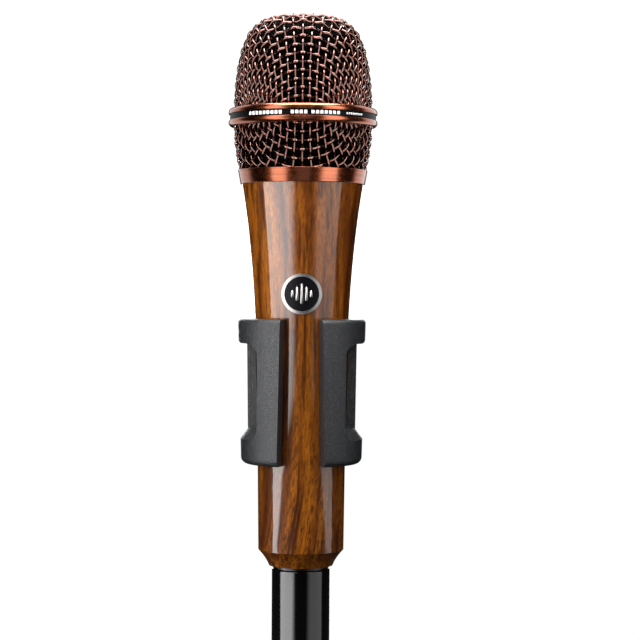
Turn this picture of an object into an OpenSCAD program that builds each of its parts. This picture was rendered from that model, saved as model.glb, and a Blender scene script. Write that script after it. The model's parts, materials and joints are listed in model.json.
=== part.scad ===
// Handheld vocal microphone with a turned wooden handle and a woven wire head,
// standing in a swivel clip for a microphone stand, with its three-pin cable plug fitted.
//
// Row frame: the origin is the centre of the stand thread's mouth, +Z is up, and -Y is the
// side with the badge. The sub-parts are drawn in the microphone's own frame, whose +Z is
// the microphone's axis and whose zero is the handle's tail, and in_row_frame() places them.

/* [Handle] */
// Length of the wooden handle along its axis
handle_len = 124.9; // [122:0.1:128]
// Radius of the handle just above the tail cove
handle_r = 14; // [13.8:0.1:14.2]
// Widening of the handle per millimetre of height
handle_taper = 0.012; // [0.01:0.001:0.014]
// Extra radius that the flare adds at the head end
handle_flare = 4.56; // [4.4:0.02:4.7]
// Height of the cove at the tail
cove_h = 5.2; // [5:0.1:5.8]
// Radius of the handle's tail face
tail_r = 10.5; // [10.2:0.05:10.7]

/* [Head] */
// Height of the copper collar
collar_h = 4.6; // [4.4:0.1:5.2]
// Largest radius of the woven baskets
basket_r = 22.9; // [22.6:0.1:23.2]
// Height of the lower basket, from the collar to the belt
lower_basket_h = 14.1; // [13.6:0.1:14.6]
// Height of the upper basket, from the belt to the crown
upper_basket_h = 30.4; // [29.6:0.1:31.2]
// Outer radius of the belt's two beads
belt_r = 24.5; // [24.2:0.1:24.8]
// Height of the belt
belt_h = 6.2; // [5.8:0.1:6.6]
// Thickness of the woven wire
weave_t = 1.3; // [1.1:0.1:1.4]

/* [Capsule] */
// Outer radius of the capsule basket
capsule_r = 14.5; // [14.2:0.1:14.6]
// Radius of the magnet and its pole plate
magnet_r = 7; // [6.8:0.1:7]

/* [Clip] */
// Height of the clip's lower edge above the handle's tail
clip_z = 33.4; // [33:0.1:34]
// Height of the clip
clip_h = 47.4; // [46:0.2:48]
// Outer radius of the clip's bands at the top
band_r_top = 21; // [20.8:0.1:21.2]
// Outer radius of the clip's bands at the bottom
band_r_bottom = 19.85; // [19.7:0.05:20]
// Half the width of the front opening at the top
opening_top = 6.9; // [6.5:0.1:7.2]
// Half the width of the front opening at the bottom
opening_bottom = 8.2; // [8:0.1:8.5]
// Height of the scoop that rises from the lower band's edge to the bore in the side windows
scoop_h = 4; // [3:0.2:5]

/* [Swivel] */
// Distance from the microphone's axis back to the swivel's axis
swivel_offset = 28; // [28:0.5:29]
// Height of the swivel pin above the handle's tail
swivel_z = 60; // [59:0.5:61]
// Height of the stand thread's mouth above the handle's tail
mouth_z = 12; // [12:0.5:13]
// Radius of the stand thread's wall, the minor radius of a 5/8 in 27 thread
stand_thread_r = 7.45; // [7.4:0.05:7.5]
// Radius of the M5 swivel pin
pin_r = 2.5; // [2.5:0.05:2.55]

/* [Plug] */
// Outer radius of the cable plug's shell
plug_r = 9.5; // [9.3:0.05:9.6]
// Length of the plug's shell
plug_len = 34.5; // [34:0.5:36]
// Radius of the cable
cable_r = 3.1; // [2.8:0.1:3.2]

/* [Hidden] */
$fn = 96;

gap = 0.05;            // free play left between two pieces that fit together
flare_start = 40;      // height on the handle where the flare begins
flare_end = 125.2;     // height at which the flare has opened fully
flare_power = 2.9;     // how late the flare opens out
handle_steps = 40;     // cone frusta that make up the handle's curve
curve_steps = 24;      // cone frusta that make up each basket's curve

collar_z = handle_len;
basket_z = collar_z + collar_h;
belt_z = basket_z + lower_basket_h;
dome_z = belt_z + belt_h;
collar_r_bottom = 20.45;
collar_r_top = 21.3;
ledge_drop = 1.2;       // depth of the ledge inside the collar's rim
ledge_r = 19.2;
head_thread_r = 17.4;  // outside radius of the thread that holds the head

tube_bore_r = 11;      // bore of the handle round the inner tube
tube_top = 99;
tail_bore_r = 9.2;     // bore of the handle's tail round the ferrule
tail_bore_h = 8;
ring_seat_z = 115;     // where the thread ring's skirt starts
ring_skirt_r = 16.2;
ring_bore_r = 14.6;

ferrule_out = 0.9;     // how far the ferrule stands out of the tail
socket_bore_r = 8.25;
insulator_z = 15;
insulator_top = 20;
pin_circle_r = 4.75;
pin_angles = [45, 135, 270];
contact_pin_r = 1.2;
socket_bore = 1.25;

capsule_z = 131;       // underside of the capsule basket
capsule_top = 156;
cup_z = 106;
cup_r = 11.5;
pot_r = 10.5;          // outside of the magnet's pot
pot_bore_r = 8.4;
pot_z = 134;
pot_top = 147;
coil_z = 143.5;
diaphragm_z = 150;

board_t = 1.6;
board_w = 16;
board_z = 34;
board_top = 92;
board_y = -3.8;
core_z = 62;
core_y = -0.8;

shell_r_top = 18.26;   // outside of the clip's rear wall at the top
shell_r_bottom = 17.6;
clip_bore_top = 15.55;
clip_bore_bottom = 14.45;
band_h_top = 7.9;
band_h_bottom = 7.6;
strip_x = 14.3;        // outer edge of each front strip
window_fillet = 4.2;
window_y = 1.5;         // the windows run from the front back to this plane
opening_angle = 15;     // how far the opening's end faces lean in towards the axis
edge_foot = 2.2;        // rounding of the clip's lower outer edge
edge_brow = 1.4;        // rounding of the clip's upper outer edge
edge_chin = 1.3;        // rounding of the upper band's lower outer corners
lug_w = 7.9;
ear_w = 4;
ear_in = 4.4;
lug_r = 7;
neck_d = 13.2;         // depth of the swivel base's neck
neck_clear = 3.4;      // room left under the lug for its sloped lower edge
washer_r = 6.5;
knob_in = 9.6;
knob_out = 17.6;
knob_r = 8;
boss_r = 11;
boss_top = 30.5;
insert_r = 9.6;

plug_top = -1;         // shoulder of the plug's shell, just under the ferrule
plug_end = plug_top - plug_len;
nose_r = 8.15;
nose_bore_r = 7.35;
nose_top = 13;
shell_bore_r = 8;
contact_r = 1.85;
cable_end = -84;
jacket_top = -20;

// ---- curves ----

// Radius of the handle at height z above its tail
function handle_at(z) =
    handle_r + handle_taper * (z - cove_h)
    + handle_flare * pow(max(0, z - flare_start) / (flare_end - flare_start), flare_power);

// Point on the cove at the tail, for t from 0 at the tail face to 1 at the handle
function cove_at(t) =
    pow(1 - t, 2) * [tail_r, 0] + 2 * t * (1 - t) * [11.3, 2.3] + t * t * [handle_r, cove_h];

// Radius of the lower basket at height h above the collar
function lower_at(h) = basket_r - 1.85 * pow(1 - h / lower_basket_h, 2);

// Point on the upper basket's curve, a superellipse, for t from 0 at the belt to 90 at the crown
function upper_at(t, inset) =
    [(basket_r - inset) * pow(cos(t), 2 / 5.2), (upper_basket_h - inset) * pow(sin(t), 2 / 1.9)];

// ---- shared shapes ----

module in_row_frame() {
    translate([0, -swivel_offset, -mouth_z]) children();
}

module disc(r, z0, z1) {
    translate([0, 0, z0]) cylinder(r = r, h = z1 - z0);
}

module ring(r_out, r_in, z0, z1) {
    difference() {
        disc(r_out, z0, z1);
        disc(r_in, z0 - 1, z1 + 1);
    }
}

module cone(r0, r1, z0, z1) {
    translate([0, 0, z0]) cylinder(r1 = r0, r2 = r1, h = z1 - z0);
}

// A bar of radius r along X from x0 to x1, on the swivel's axis
module cross_bar(r, x0, x1) {
    translate([x0, swivel_offset, swivel_z]) rotate([0, 90, 0]) cylinder(r = r, h = x1 - x0);
}

// A straight round wire of radius r from point a to point b
module wire(a, b, r) {
    d = b - a;
    length = norm(d);
    translate(a)
        rotate([0, acos(d[2] / length), atan2(d[1], d[0])])
            cylinder(r = r, h = length, $fn = 24);
}

// Puts a copy of its child on each of the three contacts' axes
module at_contacts() {
    for (a = pin_angles) translate([pin_circle_r * cos(a), pin_circle_r * sin(a), 0]) children();
}

// ---- handle ----

module handle_solid(extra) {
    cove = [for (i = [0:6]) cove_at(i / 6)];
    side = [for (i = [1:handle_steps])
        let (z = cove_h + (handle_len - cove_h) * i / handle_steps) [handle_at(z), z]];
    outline = [for (p = concat(cove, side)) [p[0] + extra, p[1]]];
    rotate_extrude() polygon(concat([[0, 0]], outline, [[0, handle_len]]));
}

module handle_shell() {
    color([0.45, 0.22, 0.07]) difference() {
        handle_solid(0);
        disc(tail_bore_r, -1, tail_bore_h + 1);
        disc(tube_bore_r, tail_bore_h, 100);
        disc(13, 99.9, ring_seat_z);
        disc(ring_skirt_r, ring_seat_z, handle_len + 1);
        badge_disc(6.6, 0.5);
    }
}

module inner_tube() {
    color([0.75, 0.75, 0.77]) ring(tube_bore_r - gap, 10, insulator_top + 0.5, tube_top);
}

module thread_ring() {
    color([0.78, 0.62, 0.32]) difference() {
        union() {
            disc(ring_skirt_r - gap, ring_seat_z + gap, handle_len + 0.2);
            disc(head_thread_r, handle_len + gap, handle_len + 4.8);
        }
        disc(ring_bore_r, ring_seat_z + 1.8, handle_len + 6);
        disc(12.5, ring_seat_z - 1, ring_seat_z + 3);
    }
}

// The badge's round outline, pushed through the handle's front from y = -12 outwards
badge_z = 89;
module badge_disc(r, reach) {
    intersection() {
        translate([0, -12, badge_z]) rotate([90, 0, 0]) cylinder(r = r, h = 10);
        difference() {
            handle_solid(reach + 0.01);
            handle_solid(-0.6);
        }
    }
}

module badge_plate() {
    color([0.85, 0.85, 0.83]) intersection() {
        translate([0, -12, badge_z]) rotate([90, 0, 0]) difference() {
            cylinder(r = 6.55, h = 10);
            translate([0, 0, -1]) cylinder(r = 5.6, h = 12);
        }
        difference() {
            handle_solid(0.6);
            handle_solid(-0.55);
        }
    }
}

module badge_inlay() {
    color([0.05, 0.05, 0.06]) intersection() {
        translate([0, -12, badge_z]) rotate([90, 0, 0]) cylinder(r = 5.55, h = 10);
        difference() {
            handle_solid(0.3);
            handle_solid(-0.55);
        }
    }
}

// ---- output connector in the tail ----

module xlr_ferrule() {
    color([0.08, 0.08, 0.09]) difference() {
        union() {
            disc(tail_bore_r - gap, -ferrule_out, tail_bore_h + 1);
            disc(tube_bore_r - gap, tail_bore_h + gap, insulator_top);
        }
        disc(socket_bore_r, -ferrule_out - 1, insulator_top + 1);
        translate([-2, 5, 5]) cube([4, 10, 3.5]);
        translate([-12, 0, 17.5]) rotate([0, 90, 0]) cylinder(r = 1.05, h = 6, $fn = 32);
    }
}

module xlr_insulator() {
    color([0.1, 0.1, 0.11]) difference() {
        disc(socket_bore_r - gap, insulator_z, insulator_top);
        at_contacts() disc(contact_pin_r + gap, insulator_z - 1, insulator_top + 1);
    }
}

module xlr_pins() {
    color([0.83, 0.68, 0.35]) at_contacts() {
        disc(contact_pin_r, 4.2, insulator_top + 3);
        translate([0, 0, 4.2]) sphere(r = contact_pin_r, $fn = 48);
    }
}

module ground_lug() {
    color([0.8, 0.8, 0.8]) difference() {
        union() {
            translate([-1.9, -7, insulator_top + gap]) cube([3.8, 4.2, 0.4]);
            translate([-1.2, -7, insulator_top + gap]) cube([2.4, 0.5, 3.2]);
        }
        translate([0, -pin_circle_r, 0]) disc(contact_pin_r + gap, insulator_top - 1, insulator_top + 1);
    }
}

module set_screw() {
    color([0.3, 0.3, 0.32]) difference() {
        translate([-10.9, 0, 17.5]) rotate([0, 90, 0]) cylinder(r = 1, h = 2.5, $fn = 32);
        translate([-11, -0.2, 16]) cube([0.6, 0.4, 3]);
    }
}

// ---- capsule ----

module shock_mount() {
    color([0.12, 0.12, 0.12]) difference() {
        union() {
            disc(ring_bore_r - gap, ring_seat_z + 1.9, ring_seat_z + 11);
            disc(ring_bore_r + 1.4, handle_len + 5, handle_len + 5.6);
            disc(ring_bore_r - gap, ring_seat_z + 10, handle_len + 5.3);
        }
        disc(cup_r + gap, ring_seat_z, handle_len + 7);
        for (z = [ring_seat_z + 4, ring_seat_z + 7.5]) ring(ring_bore_r + 1, 13.2, z, z + 1.6);
    }
}

module rear_cup() {
    color([0.16, 0.16, 0.17]) difference() {
        disc(cup_r, cup_z, capsule_z - gap);
        disc(cup_r - 1.2, cup_z + 1.2, capsule_z + 1);
        for (a = [0:60:300]) rotate([0, 0, a]) translate([6.5, 0, 0]) disc(0.8, cup_z - 1, cup_z + 2);
    }
}

module capsule_basket() {
    color([0.7, 0.7, 0.72]) difference() {
        disc(capsule_r, capsule_z, capsule_top);
        disc(capsule_r - 1.3, pot_z, capsule_top + 1);
        disc(6, capsule_z - 1, pot_z + 1);
        for (a = [0:45:315]) rotate([0, 0, a]) translate([9, 0, 0]) disc(1.1, capsule_z - 1, pot_z + 1);
        for (a = [0:30:330]) rotate([0, 0, a]) translate([10, -1, 137]) cube([8, 2, 6]);
    }
    color([0.7, 0.7, 0.72]) ring(capsule_r - 1.2, 11.4, diaphragm_z - 2, diaphragm_z - 0.6);
}

module yoke() {
    color([0.55, 0.56, 0.58]) difference() {
        disc(pot_r, pot_z + gap, pot_top);
        disc(pot_bore_r, pot_z + 2.5, pot_top + 1);
        disc(1.5, pot_z - 1, pot_z + 4);
    }
}

module magnet() {
    color([0.4, 0.4, 0.42]) ring(magnet_r, 1.5, pot_z + 2.55, pot_z + 9);
}

module pole_plate() {
    color([0.6, 0.6, 0.62]) ring(magnet_r, 1.5, pot_z + 9.05, pot_top);
}

module voice_coil() {
    color([0.72, 0.38, 0.2]) ring(magnet_r + 0.95, magnet_r + 0.45, coil_z, diaphragm_z);
}

module diaphragm() {
    color([0.85, 0.85, 0.8, 0.6]) rotate_extrude() polygon(concat(
        [for (i = [0:8]) [magnet_r * i / 8 + 0.01 * i, diaphragm_z + 2.2 - 1.99 * pow(i / 8, 2)]],
        [for (i = [0:8]) [8.2 + 4.2 * i / 8, diaphragm_z + 0.2 + 0.7 * sin(180 * i / 8)]],
        [for (i = [8:-1:0]) [8.2 + 4.2 * i / 8, diaphragm_z + 0.01 + 0.7 * sin(180 * i / 8)]],
        [for (i = [8:-1:0]) [magnet_r * i / 8 + 0.01 * i, diaphragm_z + 2 - 1.99 * pow(i / 8, 2)]]
    ));
}

module clamp_ring() {
    color([0.2, 0.2, 0.21]) ring(capsule_r - 1.35, 11.6, diaphragm_z + 1, diaphragm_z + 2.3);
}

module front_cap() {
    color([0.13, 0.13, 0.14]) difference() {
        disc(capsule_r - 1.35, diaphragm_z + 3.6, capsule_top - 0.4);
        disc(1.6, 150, 160);
        for (a = [0:60:300]) rotate([0, 0, a]) translate([5.6, 0, 0]) disc(1.5, 150, 160);
        for (a = [15:30:345]) rotate([0, 0, a]) translate([10.2, 0, 0]) disc(1.2, 150, 160);
    }
}

module felt_disc() {
    color([0.2, 0.2, 0.22]) disc(capsule_r - 0.6, capsule_top + gap, capsule_top + 0.8);
}

module capsule_terminals() {
    color([0.83, 0.68, 0.35]) for (x = [-3.4, 3.4])
        translate([x - 0.9, -0.25, cup_z - 3.5]) cube([1.8, 0.5, 3.45]);
}

// ---- electronics in the handle ----

module pcb() {
    color([0.1, 0.35, 0.18]) translate([-board_w / 2, board_y, board_z])
        cube([board_w, board_t, board_top - board_z]);
}

module pcb_carrier() {
    color([0.15, 0.15, 0.16]) for (z = [board_z, board_top - 4]) difference() {
        disc(9.95, z, z + 4);
        disc(8.4, z - 1, z + 5);
        translate([-board_w / 2 - gap, board_y - gap, z - 1])
            cube([board_w + 2 * gap, board_t + 2 * gap, 6]);
    }
}

module transformer_core() {
    color([0.35, 0.35, 0.37]) difference() {
        translate([-6, core_y, core_z]) cube([12, 6, 18]);
        for (x = [-4, 1.4]) translate([x, core_y - 1, core_z + 3]) cube([2.6, 8, 12]);
    }
}

module transformer_coil() {
    color([0.6, 0.28, 0.12]) difference() {
        translate([-3.9, core_y - 1.3, core_z + 3.1]) cube([7.8, 8.6, 11.8]);
        translate([-1.45, core_y - gap, core_z + 2]) cube([2.9, 6 + 2 * gap, 14]);
    }
}

module pcb_capacitors() {
    color([0.2, 0.3, 0.6]) for (z = [46, 54]) for (x = [-3.5, 3.5])
        translate([x, board_y + board_t + gap, z]) rotate([-90, 0, 0]) cylinder(r = 2.4, h = 6);
}

module capsule_leads() {
    color([0.8, 0.15, 0.12]) for (x = [-3.4, 3.4]) {
        wire([x, 0.9, cup_z - 3], [x, -1.6, board_top - 6], 0.45);
    }
}

module output_leads() {
    color([0.9, 0.8, 0.2]) for (a = [45, 135])
        wire([pin_circle_r * cos(a), pin_circle_r * sin(a), insulator_top + 3.3],
             [4 * cos(a), -1.6, board_z + 6], 0.45);
}

// ---- head ----

module head_gasket() {
    cord_r = 0.5;
    color([0.05, 0.05, 0.05]) translate([0, 0, basket_z - ledge_drop + cord_r + 0.02]) rotate_extrude()
        translate([ledge_r - cord_r - 0.4, 0]) circle(r = cord_r, $fn = 32);
}

module wind_liner() {
    t = 1.6;
    inset = weave_t + 0.15;
    foot = 1.4;
    low = [for (i = [0:8])
        [lower_at(lower_basket_h * i / 8) - inset, basket_z + foot + (lower_basket_h - foot) * i / 8]];
    high = [for (i = [0:curve_steps]) upper_at(90 * i / curve_steps, inset) + [0, dome_z]];
    low_in = [for (p = low) [p[0] - t, p[1]]];
    high_in = [for (i = [0:curve_steps]) upper_at(90 * i / curve_steps, inset + t) + [0, dome_z]];
    color([0.03, 0.03, 0.03]) difference() {
        rotate_extrude() polygon(concat([[0, low[0][1]]], low, high));
        rotate_extrude()
            polygon(concat([[0, low[0][1] - 1], [low_in[0][0], low[0][1] - 1]], low_in, high_in));
    }
}

module collar() {
    color([0.72, 0.36, 0.24]) difference() {
        cone(collar_r_bottom, collar_r_top, collar_z + gap, basket_z);
        disc(head_thread_r + gap, collar_z - 1, basket_z + 1);
        disc(ledge_r, basket_z - ledge_drop, basket_z + 1);
    }
}

module lower_mesh() {
    outer = [for (i = [0:curve_steps])
        let (h = lower_basket_h * i / curve_steps) [lower_at(h), basket_z + gap + h]];
    inner = [for (i = [curve_steps:-1:0]) [outer[i][0] - weave_t, outer[i][1]]];
    color([0.6, 0.32, 0.22]) rotate_extrude() polygon(concat(outer, inner));
}

module belt_ring() {
    bead = 1.4;
    bead_in = bead + 0.07;
    color([0.72, 0.36, 0.24]) difference() {
        union() {
            ring(belt_r - bead, basket_r - weave_t - gap, belt_z + 0.07, dome_z - 0.07);
            for (z = [belt_z + bead_in, dome_z - bead_in])
                translate([0, 0, z]) rotate_extrude()
                    translate([belt_r - bead, 0]) circle(r = bead, $fn = 48);
        }
        ring(belt_r + 2, belt_r - 0.95, belt_z + 2.05, dome_z - 2);
    }
}

module belt_band() {
    color([0.04, 0.04, 0.05]) ring(belt_r - 0.5, belt_r - 0.9, belt_z + 2.1, dome_z - 2.05);
}

module upper_mesh() {
    outer = [for (i = [0:curve_steps]) upper_at(90 * i / curve_steps, 0) + [0, dome_z]];
    inner = [for (i = [curve_steps:-1:0]) upper_at(90 * i / curve_steps, weave_t) + [0, dome_z]];
    color([0.6, 0.32, 0.22]) rotate_extrude() polygon(concat(outer, inner));
}

// ---- stand clip ----

// Cone that rises from the lower band's edge up to the rear wall
module scoop_cone() {
    base = clip_z + band_h_bottom;
    cone(band_r_bottom + 0.6, shell_r_bottom - 0.2, base - 0.05, base + scoop_h);
}

// Front elevation of one side window, to be cut along Y, with its two inner corners filleted
module window_outline(z0, z1) {
    difference() {
        translate([strip_x, z0]) square([12, z1 - z0]);
        translate([strip_x, z0]) difference() {
            square(window_fillet);
            translate([window_fillet, window_fillet]) circle(r = window_fillet);
        }
        translate([strip_x, z1 - window_fillet]) difference() {
            square(window_fillet);
            translate([window_fillet, 0]) circle(r = window_fillet);
        }
    }
}

// Front elevation of what is cut away to round the upper band's lower outer corner
module chin_outline() {
    z = clip_z + clip_h - band_h_top;
    r = band_r_bottom + (band_r_top - band_r_bottom) * (z - clip_z) / clip_h;
    translate([r - edge_chin, z - 0.1]) difference() {
        square([3, edge_chin + 0.1]);
        translate([0, edge_chin + 0.1]) circle(r = edge_chin);
    }
}

module clip_window() {
    window_z0 = clip_z + band_h_bottom;
    difference() {
        translate([0, window_y, 0]) rotate([90, 0, 0]) linear_extrude(height = 30)
            window_outline(window_z0, clip_z + clip_h - band_h_top);
        scoop_cone();
    }
    translate([0, 10, 0]) rotate([90, 0, 0]) linear_extrude(height = 20) chin_outline();
}

// Everything to the left of the opening's right-hand face, which leans in towards the axis
module opening_side() {
    lean = atan((opening_bottom - opening_top) / clip_h);
    translate([opening_bottom, -band_r_bottom, clip_z]) rotate([0, -lean, 0]) rotate([0, 0, opening_angle])
        translate([-60, -30, -10]) cube([60, 60, clip_h + 20]);
}

// The band's full solid of revolution, with its two outer edges rounded
module band_solid() {
    top = clip_z + clip_h;
    foot = [for (a = [-90:15:0])
        [band_r_bottom - edge_foot * (1 - cos(a)), clip_z + edge_foot * (1 + sin(a))]];
    brow = [for (a = [0:18:90])
        [band_r_top - edge_brow * (1 - cos(a)), top - edge_brow * (1 - sin(a))]];
    rotate_extrude() polygon(concat([[0, clip_z]], foot, brow, [[0, top]]));
}

// The lug behind the clip that the swivel's two ears hold
module lug_outline() {
    union() {
        translate([swivel_offset, swivel_z]) circle(r = lug_r);
        polygon([[16.5, swivel_z - 12], [16.5, swivel_z + 12],
                 [swivel_offset, swivel_z + lug_r], [swivel_offset, swivel_z - lug_r]]);
    }
}

module clip_body() {
    top = clip_z + clip_h;
    color([0.2, 0.21, 0.23]) difference() {
        union() {
            intersection() {
                band_solid();
                union() {
                    disc(30, clip_z, clip_z + band_h_bottom);
                    disc(30, top - band_h_top, top);
                    scoop_cone();
                    translate([-30, -30, clip_z]) cube([60, 30 + window_y, clip_h]);
                }
            }
            cone(shell_r_bottom, shell_r_top, clip_z + 1, top - 1);
            rotate([90, 0, 90]) translate([0, 0, -lug_w / 2]) linear_extrude(height = lug_w) lug_outline();
        }
        cone(clip_bore_bottom - 0.05, clip_bore_top + 0.05, clip_z - 2, top + 2);
        intersection() {
            opening_side();
            mirror([1, 0, 0]) opening_side();
            translate([-30, -40, clip_z - 1]) cube([60, 40, clip_h + 2]);
        }
        clip_window();
        mirror([1, 0, 0]) clip_window();
        cross_bar(pin_r + gap, -10, 10);
    }
}

module ear_outline() {
    union() {
        translate([swivel_offset, swivel_z]) circle(r = lug_r);
        translate([swivel_offset - neck_d / 2, boss_top]) square([neck_d, swivel_z - boss_top - 2]);
    }
}

module swivel_base() {
    color([0.17, 0.17, 0.18]) difference() {
        union() {
            for (x = [ear_in, -ear_in - ear_w])
                translate([x, 0, 0]) rotate([90, 0, 90]) linear_extrude(height = ear_w) ear_outline();
            translate([-ear_in - ear_w, swivel_offset - neck_d / 2, boss_top])
                cube([2 * (ear_in + ear_w), neck_d, swivel_z - lug_r - neck_clear - boss_top]);
            translate([0, swivel_offset, 0]) {
                cone(boss_r, 9.6, boss_top - 3, boss_top + 1);
                disc(boss_r, mouth_z, boss_top - 3);
            }
        }
        translate([0, swivel_offset, 0]) disc(insert_r + gap, mouth_z - 1, mouth_z + 17);
        cross_bar(pin_r + gap, -12, 12);
        for (a = [0:30:330]) translate([0, swivel_offset, 0]) rotate([0, 0, a])
            translate([boss_r + 0.55, 0, 0]) disc(0.9, mouth_z + 1.5, boss_top - 6);
    }
}

module thread_insert() {
    color([0.78, 0.62, 0.32]) translate([0, swivel_offset, 0])
        ring(insert_r, stand_thread_r, mouth_z, mouth_z + 16.9);
}

module swivel_pin() {
    color([0.72, 0.72, 0.74]) union() {
        cross_bar(pin_r, -ear_in - ear_w - 1, knob_out - 1.4);
        translate([-ear_in - ear_w - 3.5, swivel_offset, swivel_z]) rotate([0, 90, 0])
            cylinder(r = 4.6, h = 3.45, $fn = 6);
    }
}

module friction_washers() {
    color([0.85, 0.84, 0.78]) for (x = [lug_w / 2 + 0.02, -lug_w / 2 - 0.4]) difference() {
        cross_bar(washer_r, x, x + 0.38);
        cross_bar(pin_r + gap, x - 1, x + 2);
    }
}

module spring_washer() {
    color([0.7, 0.7, 0.72]) difference() {
        cross_bar(5, ear_in + ear_w + gap, knob_in - gap);
        cross_bar(pin_r + 0.1, 5, 12);
        translate([ear_in + ear_w - 1, swivel_offset - 0.4, swivel_z]) rotate([12, 0, 0]) cube([3, 0.8, 8]);
    }
}

module tension_knob() {
    color([0.17, 0.17, 0.18]) difference() {
        union() {
            cross_bar(knob_r, knob_in + 1.6, knob_out);
            cross_bar(6, knob_in, knob_in + 2);
        }
        translate([knob_in - 1, swivel_offset, swivel_z]) rotate([0, 90, 0])
            cylinder(r = 4.65, h = 5, $fn = 6);
        cross_bar(pin_r + 0.1, knob_in - 1, knob_out + 1);
        for (a = [0:45:315]) translate([knob_in, swivel_offset, swivel_z]) rotate([a, 0, 0])
            translate([0, 0, knob_r + 1.2]) rotate([0, 90, 0]) cylinder(r = 2.2, h = 9, $fn = 48);
    }
}

module knob_nut() {
    color([0.78, 0.62, 0.32]) difference() {
        translate([knob_in + 0.02, swivel_offset, swivel_z]) rotate([0, 90, 0])
            cylinder(r = 4.6, h = 3.9, $fn = 6);
        cross_bar(pin_r + gap, knob_in - 1, knob_in + 6);
    }
}

// ---- cable plug ----

module plug_shell() {
    color([0.05, 0.05, 0.06]) difference() {
        union() {
            disc(plug_r, plug_end, plug_top - 0.4);
            cone(plug_r, plug_r - 0.4, plug_top - 0.4, plug_top);
            disc(nose_r, plug_top - 0.1, nose_top);
        }
        disc(nose_bore_r, -5, nose_top + 1);
        disc(shell_bore_r, plug_end - 1, -4.9);
        translate([-2.7, 4, -12.2]) cube([5.4, 8, 7.4]);
        translate([-1.45, 4, -13]) cube([2.9, 4.8, 21.5]);
        ring(plug_r + 1, plug_r - 0.25, plug_end + 2.4, plug_end + 3);
    }
}

module plug_insulator() {
    color([0.07, 0.07, 0.08]) difference() {
        union() {
            disc(nose_bore_r - gap, -6, nose_top - 0.6);
            disc(shell_bore_r - gap, -9, -5.05);
        }
        at_contacts() disc(contact_r + gap, -10, nose_top);
        translate([-1.5, 4.45, -10]) cube([3, 6, 24]);
        translate([-2.8, 6, -10]) cube([5.6, 6, 5.2]);
    }
}

module plug_contacts() {
    color([0.83, 0.68, 0.35]) at_contacts() difference() {
        disc(contact_r, -13, nose_top - 0.8);
        disc(socket_bore, 2.9, nose_top);
        disc(1.1, -14, -10);
    }
}

module plug_latch() {
    color([0.6, 0.6, 0.62]) union() {
        translate([-1.2, 5.7, -11.8]) cube([2.4, 1.2, 19]);
        translate([-1.2, 5.7, 5.4]) cube([2.4, 2.2, 1.8]);
        translate([-1.2, 6.8, -11.6]) cube([2.4, 0.6, 6]);
        intersection() {
            translate([-2.4, 7.2, -11.6]) cube([4.8, 4, 6]);
            disc(plug_r + 0.45, -12, -5);
        }
    }
}

module plug_chuck() {
    color([0.25, 0.25, 0.27]) difference() {
        union() {
            disc(shell_bore_r - 0.1, -30, -24);
            cone(shell_bore_r - 0.1, 5.6, -33.5, -30);
        }
        disc(cable_r + gap, -40, -15);
        for (a = [0:90:270]) rotate([0, 0, a]) translate([cable_r - 0.4, -0.5, -34.5]) cube([8, 1, 7]);
    }
}

module plug_boot() {
    color([0.06, 0.06, 0.07]) difference() {
        union() {
            disc(plug_r - 0.4, plug_end - 5, plug_end - gap);
            cone(5.2, 8.2, plug_end - 24, plug_end - 5);
        }
        disc(cable_r + gap, plug_end - 26, plug_end + 1);
        for (i = [0:4]) ring(12, 4.6, plug_end - 22.4 + 3.2 * i, plug_end - 21.2 + 3.2 * i);
    }
}

module cable_jacket() {
    color([0.05, 0.05, 0.05]) disc(cable_r, cable_end, jacket_top);
}

module cable_conductors() {
    for (i = [0:2]) {
        a = pin_angles[i];
        color([[0.75, 0.1, 0.1], [0.85, 0.85, 0.85], [0.1, 0.3, 0.7]][i])
            wire([1.5 * cos(a), 1.5 * sin(a), jacket_top + 0.4],
                 [pin_circle_r * cos(a), pin_circle_r * sin(a), -12.9], 0.75);
    }
}

// ---- one line per node ----

in_row_frame() handle_shell();
in_row_frame() inner_tube();
in_row_frame() thread_ring();
in_row_frame() badge_plate();
in_row_frame() badge_inlay();
in_row_frame() xlr_ferrule();
in_row_frame() xlr_insulator();
in_row_frame() xlr_pins();
in_row_frame() ground_lug();
in_row_frame() set_screw();
in_row_frame() shock_mount();
in_row_frame() rear_cup();
in_row_frame() capsule_basket();
in_row_frame() yoke();
in_row_frame() magnet();
in_row_frame() pole_plate();
in_row_frame() clamp_ring();
in_row_frame() front_cap();
in_row_frame() felt_disc();
in_row_frame() capsule_terminals();
in_row_frame() voice_coil();
in_row_frame() diaphragm();
in_row_frame() pcb();
in_row_frame() pcb_carrier();
in_row_frame() transformer_core();
in_row_frame() transformer_coil();
in_row_frame() pcb_capacitors();
in_row_frame() capsule_leads();
in_row_frame() output_leads();
in_row_frame() head_gasket();
in_row_frame() wind_liner();
in_row_frame() collar();
in_row_frame() lower_mesh();
in_row_frame() belt_ring();
in_row_frame() belt_band();
in_row_frame() upper_mesh();
in_row_frame() clip_body();
in_row_frame() swivel_base();
in_row_frame() thread_insert();
in_row_frame() swivel_pin();
in_row_frame() friction_washers();
in_row_frame() spring_washer();
in_row_frame() tension_knob();
in_row_frame() knob_nut();
in_row_frame() plug_shell();
in_row_frame() plug_insulator();
in_row_frame() plug_contacts();
in_row_frame() plug_latch();
in_row_frame() plug_chuck();
in_row_frame() plug_boot();
in_row_frame() cable_jacket();
in_row_frame() cable_conductors();
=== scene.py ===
"""Looks for the wooden vocal microphone in its stand clip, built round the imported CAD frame."""
import json
import math

import bpy
import numpy as np
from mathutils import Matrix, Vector
from mathutils.bvhtree import BVHTree


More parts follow.
